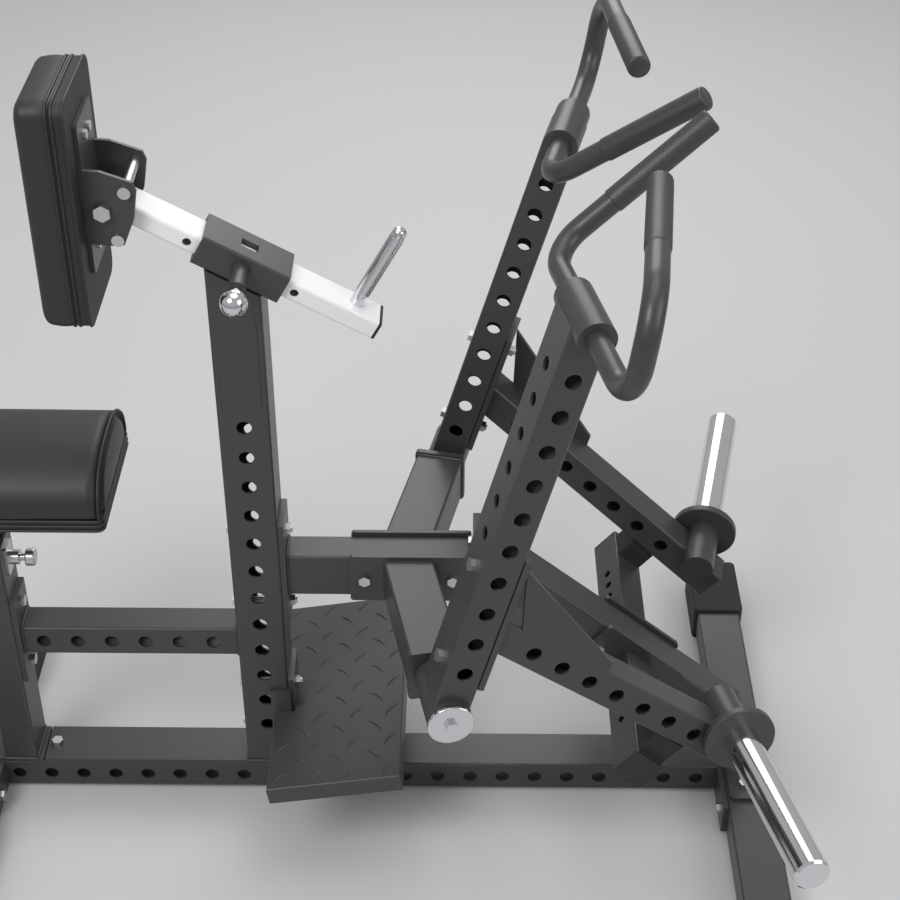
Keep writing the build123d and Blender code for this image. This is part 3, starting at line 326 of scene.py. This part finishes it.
# ---- knurled grips ----
def knurled(name, start, end, radius, body, slot):
    """A grip with a diamond knurl raised in its skin and rounded ends."""
    axis = (end - start).normalized()
    side = axis.orthogonal().normalized()
    lift = axis.cross(side)
    length = (end - start).length
    rows = int(length / KNURL_ROW)
    rings = []
    for r in range(rows + 1):
        at = length * r / rows
        edge = min(at, length - at)
        twist = at / KNURL_PITCH * math.pi
        shrink = GRIP_END_DROP * (1 - min(1, edge / GRIP_END)) ** 2
        ring = []
        for k in range(KNURL_SIDES):
            angle = 2 * math.pi * k / KNURL_SIDES
            turn = angle * KNURL_STARTS
            wave = abs(math.sin(turn + twist)) * abs(math.sin(turn - twist))
            raised = KNURL_DEPTH * (wave * 2 - 1) * min(1, edge / KNURL_FADE)
            rad = radius + raised - shrink
            ring.append(start + axis * at + side * (rad * math.cos(angle)) + lift * (rad * math.sin(angle)))
        rings.append(ring)
    return mesh_piece(name, *stack(rings), body, slot)


def islands(node):
    """The vertex places of each separate solid in a node."""
    mesh = bmesh.new()
    mesh.from_mesh(NODES[node].data)
    bmesh.ops.remove_doubles(mesh, verts=mesh.verts, dist=1e-6)
    seen, groups = set(), []
    for first in mesh.verts:
        if first in seen:
            continue
        seen.add(first)
        queue, group = [first], []
        while queue:
            vert = queue.pop()
            group.append(tuple(vert.co))
            for edge in vert.link_edges:
                other = edge.other_vert(vert)
                if other not in seen:
                    seen.add(other)
                    queue.append(other)
        groups.append(np.array(group))
    mesh.free()
    return groups


def axis_ends(points):
    """The two end centres of a long round solid."""
    middle = points.mean(0)
    axis = np.linalg.svd(points - middle)[2][0]
    along = (points - middle) @ axis
    low, high = along.min(), along.max()
    ends = []
    for near in (along < low + 0.0005, along > high - 0.0005):
        ring = points[near]
        ends.append(Vector((ring.max(0) + ring.min(0)) / 2))
    return ends


def hand_grips():
    """Two grips on each handle, laid over the plain ones."""
    for side in ("left", "right"):
        for number, points in enumerate(islands(f"grips_{side}")):
            start, end = axis_ends(points)
            name = f"grip_{side}_{number}"
            knurled(name, start, end, GRIP_RADIUS, f"grip_{side}", "handle_black")
        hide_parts(f"grips_{side}")


def peg_knurl():
    """A knurled skin round the peg's straight length."""
    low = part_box("peg_handle")[0]
    slide = Vector(JOINTS["chest_slide_along"]["axis"]).normalized()
    up = slide.cross(Vector((0, 1, 0)))
    up = up if up.z > 0 else -up
    foot = Vector((low.x + PEG_RADIUS * abs(up.z), 0, low.z + PEG_RADIUS * abs(up.x)))
    start, end = foot + up * PEG_KNURL_FROM, foot + up * PEG_KNURL_TO
    knurled("peg_grip", start, end, PEG_SKIN, "chest_slide", "chrome")


# ---- chequer pattern of the foot plate ----
def ridge(u, v, turn):
    """Points of one bowed ridge, (along, across, height) on the plate's face, in 9 arches of 5."""
    points = []
    for i in range(9):
        t = i / 4 - 1
        run, bow = RIDGE_HALF_LENGTH * t, RIDGE_BOW * (1 - t * t)
        middle_u = u + run * math.cos(turn) - bow * math.sin(turn)
        middle_v = v + run * math.sin(turn) + bow * math.cos(turn)
        swell = math.sqrt(max(0.0, 1 - t * t * 0.96))
        for k in range(5):
            angle = math.pi * k / 4
            width = RIDGE_HALF_WIDTH * math.cos(angle) * swell
            height = RIDGE_HEIGHT * math.sin(angle) * swell - RIDGE_SUNK
            points.append((middle_u - math.sin(turn) * width, middle_v + math.cos(turn) * width, height))
    return points


def tread_places(half):
    """Centre and turn of every ridge that fits on the plate, clear of the post."""
    rows = int(TREAD_LENGTH / TREAD_PITCH_X)
    columns = int(half / TREAD_PITCH_Y) + 1
    for row in range(rows + 1):
        odd = row % 2
        u = TREAD_FIRST_ROW + row * TREAD_PITCH_X
        for column in range(-columns, columns + 1):
            v = column * TREAD_PITCH_Y + (TREAD_PITCH_Y / 2 if odd else 0)
            past_edge = abs(v) > half - TREAD_SIDE_MARGIN or u > TREAD_LENGTH - TREAD_END_MARGIN
            under_post = u < TREAD_POST_X and abs(v) < TREAD_POST_Y
            if not (past_edge or under_post):
                yield u, v, math.radians(RIDGE_TURNS[odd])


def tread_ridges():
    """Raised ridges over the foot plate's sloping face."""
    low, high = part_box("foot_plate")
    lean = math.radians(TREAD_TILT)
    along = Vector((math.cos(lean), 0, math.sin(lean)))
    up = Vector((-math.sin(lean), 0, math.cos(lean)))
    origin = Vector((low.x, 0, high.z - TREAD_LENGTH * math.sin(lean)))
    verts, faces = [], []
    for place in tread_places((high.y - low.y) / 2):
        base = len(verts)
        verts += [origin + along * u + Vector((0, v, 0)) + up * height for u, v, height in ridge(*place)]
        for i in range(8):
            for k in range(4):
                corner = base + i * 5 + k
                faces.append((corner, corner + 1, corner + 6, corner + 5))
    mesh_piece("tread_ridges", verts, faces, "frame", "frame_black")


# ---- bare plates on the main post, where a nameplate would sit ----
def post_panels():
    """A thin blank plate on each side of the main post."""
    low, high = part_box("main_post")
    middle = (low.x + high.x) / 2
    outline = rounded_outline(PANEL_HALF_W, PANEL_HALF_H, PANEL_CORNER)
    for name, side in (("post_panel_right", -1), ("post_panel_left", 1)):
        face = low.y if side < 0 else high.y
        rings = []
        for out, inset in PANEL_EDGE:
            scale_x, scale_z = 1 - inset / PANEL_HALF_W, 1 - inset / PANEL_HALF_H
            rings.append([Vector((middle + p[0] * scale_x, face + side * out, PANEL_Z + p[1] * scale_z))
                          for p in outline])
        mesh_piece(name, *stack(rings), "frame", "frame_black", smooth=False)


# ---- weld beads ----
X_AXIS, Y_AXIS, Z_AXIS = Vector((1, 0, 0)), Vector((0, 1, 0)), Vector((0, 0, 1))


def bead(name, centre, across, upward, half_w, half_h, body="frame"):
    """A weld bead round a rectangular tube's foot."""
    outline = rounded_outline(half_w, half_h, WELD_CORNER)
    points = [centre + across * p[0] + upward * p[1] for p in outline]
    cord_loop(name, points, WELD_RADIUS, body, "frame_black", 6)


def tube_end_welds():
    """Beads at both ends of the rail and the beam, which run along x."""
    rail_low, rail_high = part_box("mid_rail")
    rail_z = (rail_low.z + rail_high.z) / 2
    beam_low, beam_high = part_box("beam")
    beam_z = JOINTS["lever_left_swing"]["pos_m"][2]
    beam_off = BEAM_FLANGE + WELD_OFF
    for name, x, z, half_h in (
            ("weld_rail_rear", rail_low.x + WELD_OFF, rail_z, HALF_50),
            ("weld_rail_front", rail_high.x - WELD_OFF, rail_z, HALF_50),
            ("weld_beam_rear", beam_low.x + beam_off, beam_z, HALF_70),
            ("weld_beam_front", beam_high.x - beam_off, beam_z, HALF_70)):
        bead(name, Vector((x, 0, z)), Y_AXIS, Z_AXIS, HALF_50, half_h)


def post_welds():
    """Beads round the upright tubes: main post, seat post and the seat's height tube."""
    post_low, post_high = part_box("main_post")
    post_x = (post_low.x + post_high.x) / 2
    bead("weld_post_foot", Vector((post_x, 0, post_low.z + WELD_OFF)), X_AXIS, Y_AXIS, HALF_70, HALF_70)
    tube_low, tube_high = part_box("seat_tube")
    seat_x = (tube_low.x + tube_high.x) / 2
    foot_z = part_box("seat_post")[0].z + SEAT_FOOT_PLATE + WELD_OFF
    bead("weld_seat_post_foot", Vector((seat_x, 0, foot_z)), X_AXIS, Y_AXIS, HALF_50, HALF_70)
    plate_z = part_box("seat_board")[0].z - SEAT_TOP_PLATE - WELD_OFF
    bead("weld_seat_plate", Vector((seat_x, 0, plate_z)), X_AXIS, Y_AXIS,
         SEAT_TUBE_HALF_X, SEAT_TUBE_HALF_Y, "seat")


def arm_welds():
    """A bead round the outer end of each yoke arm, square to the lever's axis."""
    for side, sign in (("left", 1), ("right", -1)):
        joint = JOINTS[f"lever_{side}_swing"]
        out = Vector(joint["axis"])
        out = out if out.y * sign > 0 else -out
        fore = Vector((out.y * sign, -out.x * sign, 0))
        end = Vector(joint["pos_m"]) - out * ARM_GAP
        bead(f"weld_arm_end_{side}", end, fore, Z_AXIS, HALF_70, HALF_70)


chest_pad()
seat()
hand_grips()
peg_knurl()
tread_ridges()
post_panels()
tube_end_welds()
post_welds()
arm_welds()


# ---- studio ----
def area_light(name, location, target, size, power):
    data = bpy.data.lights.new(name, "AREA")
    data.shape = "DISK"
    data.size = size
    data.energy = power
    obj = bpy.data.objects.new(name, data)
    obj.location = location
    obj.rotation_euler = (Vector(target) - Vector(location)).to_track_quat("-Z", "Y").to_euler()
    bpy.context.scene.collection.objects.link(obj)


def studio():
    """A pale round floor, an even pale sky and four soft lights."""
    mesh = bpy.data.meshes.new("studio_floor")
    radius, sides = 90, 64
    angles = [2 * math.pi * i / sides for i in range(sides)]
    rim = [(radius * math.cos(angle), radius * math.sin(angle), 0) for angle in angles]
    mesh.from_pydata(rim, [], [tuple(range(sides))])
    floor = bpy.data.objects.new("studio_floor", mesh)
    bpy.context.scene.collection.objects.link(floor)
    mesh.materials.append(material("studio_floor", (0.58, 0.58, 0.58), 0.75))
    world = bpy.data.worlds.new("studio")
    world.use_nodes = True
    sky = world.node_tree.nodes["Background"]
    sky.inputs["Color"].default_value = (0.93, 0.94, 0.95, 1)
    sky.inputs["Strength"].default_value = 0.5
    bpy.context.scene.world = world
    area_light("key", (-1.6, -2.2, 3.4), (0, 0, 0.5), 1.8, 62)
    area_light("fill", (2.8, -1.6, 2.2), (0.1, 0, 0.5), 2.2, 26)
    area_light("back", (0.3, 3.0, 2.6), (0, 0, 0.6), 2.2, 34)
    area_light("top", (0.2, 0.2, 3.6), (0, 0, 0), 2.4, 26)


def view():
    camera = bpy.data.objects.new("camera", bpy.data.cameras.new("camera"))
    bpy.context.scene.collection.objects.link(camera)
    camera.location = CAMERA_PLACE
    camera.rotation_euler = (math.radians(CAMERA_TILT), 0, math.radians(CAMERA_TURN))
    camera.data.lens = CAMERA_LENS
    camera.data.sensor_width = CAMERA_SENSOR
    camera.data.shift_x, camera.data.shift_y = CAMERA_SHIFT
    bpy.context.scene.camera = camera
    bpy.context.scene.view_settings.view_transform = "Standard"


studio()
view()
